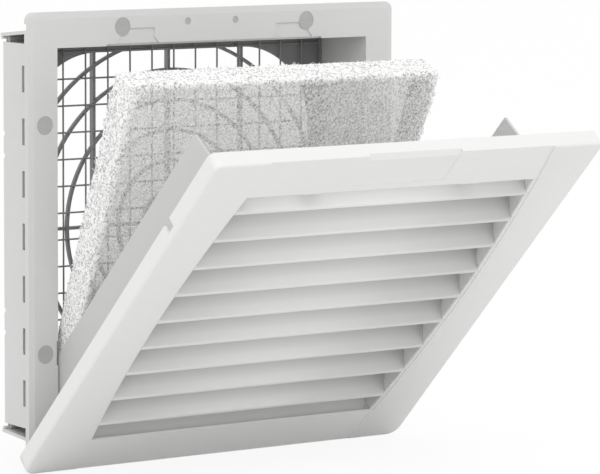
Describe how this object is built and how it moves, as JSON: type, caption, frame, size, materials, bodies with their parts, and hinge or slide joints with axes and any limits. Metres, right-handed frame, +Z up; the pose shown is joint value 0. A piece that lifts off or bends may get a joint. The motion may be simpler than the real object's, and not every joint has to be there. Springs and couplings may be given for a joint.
{
  "type": "louvred enclosure exhaust filter",
  "caption": "Square louvred exhaust filter unit for a panel cut-out: snap-in housing with grille and mesh, a leaning filter mat and a cover hinged at the bottom, shown open.",
  "frame": {"origin": "centre of the panel cut-out, on the plane where the gasket meets the panel's front", "axes": "+Z up, +Y through the panel to the rear, +X to the right of someone who faces the rear"},
  "size_m": [0.3266, 0.2952, 0.3194],
  "materials": {
    "cover_grey": "fine satin, injection moulded",
    "flange_grey": "fine satin, injection moulded",
    "plug_grey": "matt, slightly rough",
    "housing_grey": "satin, injection moulded",
    "grille_grey": "satin",
    "mesh_wire": "drawn and welded wire",
    "gasket_foam": "closed-cell foam",
    "pin_steel": "ground",
    "mat_fibre": "bonded white fibre, fuzzy"
  },
  "bodies": {
    "frame": {"flange_frame": "flange_grey", "screw_plugs": "plug_grey", "panel_gasket": "gasket_foam", "housing_tray": "housing_grey", "rear_grille": "grille_grey", "insect_mesh": "mesh_wire"},
    "flap_top": {"snap_flap_top": "housing_grey"},
    "flap_bottom": {"snap_flap_bottom": "housing_grey"},
    "flap_left": {"snap_flap_left": "housing_grey"},
    "flap_right": {"snap_flap_right": "housing_grey"},
    "cover": {"cover_frame": "cover_grey", "hinge_pin_left": "pin_steel", "hinge_pin_right": "pin_steel", "louvre_slats": "cover_grey", "sill_slat": "cover_grey", "louvre_end_left": "cover_grey", "louvre_end_right": "cover_grey", "cheek_left": "cover_grey", "cheek_right": "cover_grey", "latch_hook_left": "cover_grey", "latch_hook_right": "cover_grey"},
    "mat": {"filter_mat": "mat_fibre"}
  },
  "joints": [
    {"name": "cover_hinge", "type": "hinge", "parent": "frame", "child": "cover", "pos_m": [0, -0.0138, -0.1491], "axis": [1, 0, 0], "range_deg": [-45.16, 0]},
    {"name": "mat_tilt", "type": "hinge", "parent": "frame", "child": "mat", "pos_m": [0, 0.002, -0.1323], "axis": [1, 0, 0], "range_deg": [-22.4, 0]},
    {"name": "flap_top_press", "type": "hinge", "parent": "frame", "child": "flap_top", "pos_m": [0, 0.0493, 0.1378], "axis": [1, 0, 0], "range_deg": [0, 5], "stiffness_Nm_per_rad": 5},
    {"name": "flap_bottom_press", "type": "hinge", "parent": "frame", "child": "flap_bottom", "pos_m": [0, 0.0493, -0.1378], "axis": [-1, 0, 0], "range_deg": [0, 5], "stiffness_Nm_per_rad": 5},
    {"name": "flap_left_press", "type": "hinge", "parent": "frame", "child": "flap_left", "pos_m": [-0.1378, 0.0493, 0], "axis": [0, 0, 1], "range_deg": [0, 5], "stiffness_Nm_per_rad": 5},
    {"name": "flap_right_press", "type": "hinge", "parent": "frame", "child": "flap_right", "pos_m": [0.1378, 0.0493, 0], "axis": [0, 0, -1], "range_deg": [0, 5], "stiffness_Nm_per_rad": 5}
  ],
  "couplings": [
    {"joint": "mat_tilt", "follows": "cover_hinge", "ratio": 0.496}
  ]
}
